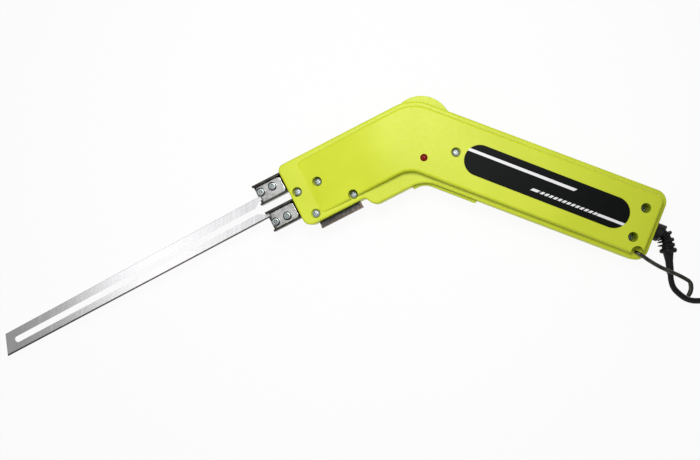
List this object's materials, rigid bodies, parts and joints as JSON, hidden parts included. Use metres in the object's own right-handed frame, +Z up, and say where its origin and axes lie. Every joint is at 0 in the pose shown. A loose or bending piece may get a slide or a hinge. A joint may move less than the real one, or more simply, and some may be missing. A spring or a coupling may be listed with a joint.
{
  "type": "electric hot knife",
  "caption": "Bent clamshell handle with thumb dial, trigger and hanging hook; screw clamps at its nose hold a long slotted heated blade; a coiled cord ends in a flat plug.",
  "frame": {"origin": "under the bend of the housing, where the centre lines of nose and handle cross, on the surface the knife lies on", "axes": "+X from the blade to the rear of the handle, +Y to the dial and the back of the bend, +Z up through both halves of the housing"},
  "size_m": [0.568, 0.1803, 0.0413],
  "materials": {
    "lime_plastic": "satin moulded plastic",
    "zinc_screw": "zinc plated",
    "label_black": "printed film",
    "lens_red": "tinted epoxy",
    "part_blue": "moulded",
    "board_green": "lacquered board",
    "black_plastic": "moulded",
    "part_amber": "dipped",
    "part_red": "moulded",
    "core_iron": "stacked sheet iron",
    "copper": "copper",
    "insulator_brown": "pressed resin board",
    "dark_steel": "blackened steel",
    "bright_steel": "bright rolled steel",
    "blade_steel": "ground across its length",
    "rail_steel": "bare dark steel with some rust",
    "black_rubber": "moulded",
    "wire_brown": "insulated wire",
    "wire_blue": "insulated wire",
    "wire_red": "insulated wire",
    "tie_grey": "coated tie",
    "pin_brass": "nickel plated brass"
  },
  "bodies": {
    "housing_group": {"housing_left": "lime_plastic", "housing_right": "lime_plastic", "housing_screws": "zinc_screw", "label_plate": "label_black", "led_lens": "lens_red", "led_leads": "zinc_screw", "potentiometer_body": "part_blue", "circuit_board": "board_green", "triac": "black_plastic", "capacitor": "part_amber", "trigger_pin": "zinc_screw", "switch_body": "black_plastic", "transformer_core": "core_iron", "transformer_coil": "copper", "upper_busbar": "copper", "lower_busbar": "copper", "busbar_screws": "zinc_screw", "insulator_block": "insulator_brown", "upper_clamp_channel": "dark_steel", "lower_clamp_channel": "dark_steel", "upper_clamp_plate": "bright_steel", "lower_clamp_plate": "bright_steel", "clamp_screws": "zinc_screw", "clamp_nuts": "zinc_screw", "blade": "blade_steel", "guide_rail": "rail_steel", "strain_relief": "black_rubber", "inner_cord": "black_rubber", "cord_clamp": "insulator_brown", "cord_clamp_screws": "zinc_screw", "live_wire": "wire_brown", "neutral_wire": "wire_blue", "switch_wire": "wire_brown", "primary_wires": "wire_red", "cord_lead": "black_rubber", "cord_coil": "black_rubber", "cord_tail": "black_rubber", "cord_tie": "tie_grey", "plug_body": "black_plastic", "plug_pins": "pin_brass"},
    "trigger_group": {"trigger": "lime_plastic", "trigger_spring": "zinc_screw"},
    "plunger_group": {"switch_plunger": "part_red"},
    "dial_group": {"dial": "lime_plastic", "potentiometer_shaft": "zinc_screw"},
    "hook_group": {"hook": "dark_steel", "hook_clip": "zinc_screw"}
  },
  "joints": [
    {"name": "trigger_pull", "type": "hinge", "parent": "housing_group", "child": "trigger_group", "pos_m": [0.04956, -0.03831, 0.02], "axis": [0, 0, -1], "range_deg": [0, 3], "stiffness_Nm_per_rad": 1.5, "springref_deg": -5.73},
    {"name": "plunger_slide", "type": "slide", "parent": "housing_group", "child": "plunger_group", "axis": [0.3584, 0.9336, 0], "range_m": [0, 0.00126]},
    {"name": "dial_turn", "type": "hinge", "parent": "housing_group", "child": "dial_group", "pos_m": [0.00669, 0.00696, 0.02], "axis": [0, 0, 1], "range_deg": [-140, 140]},
    {"name": "hook_swing", "type": "hinge", "parent": "housing_group", "child": "hook_group", "pos_m": [0.15023, -0.07855, 0.0344], "axis": [0, 0, 1], "range_deg": [-95, 10]}
  ],
  "couplings": [
    {"joint": "plunger_slide", "follows": "trigger_pull", "m_per_rad": 0.024}
  ]
}
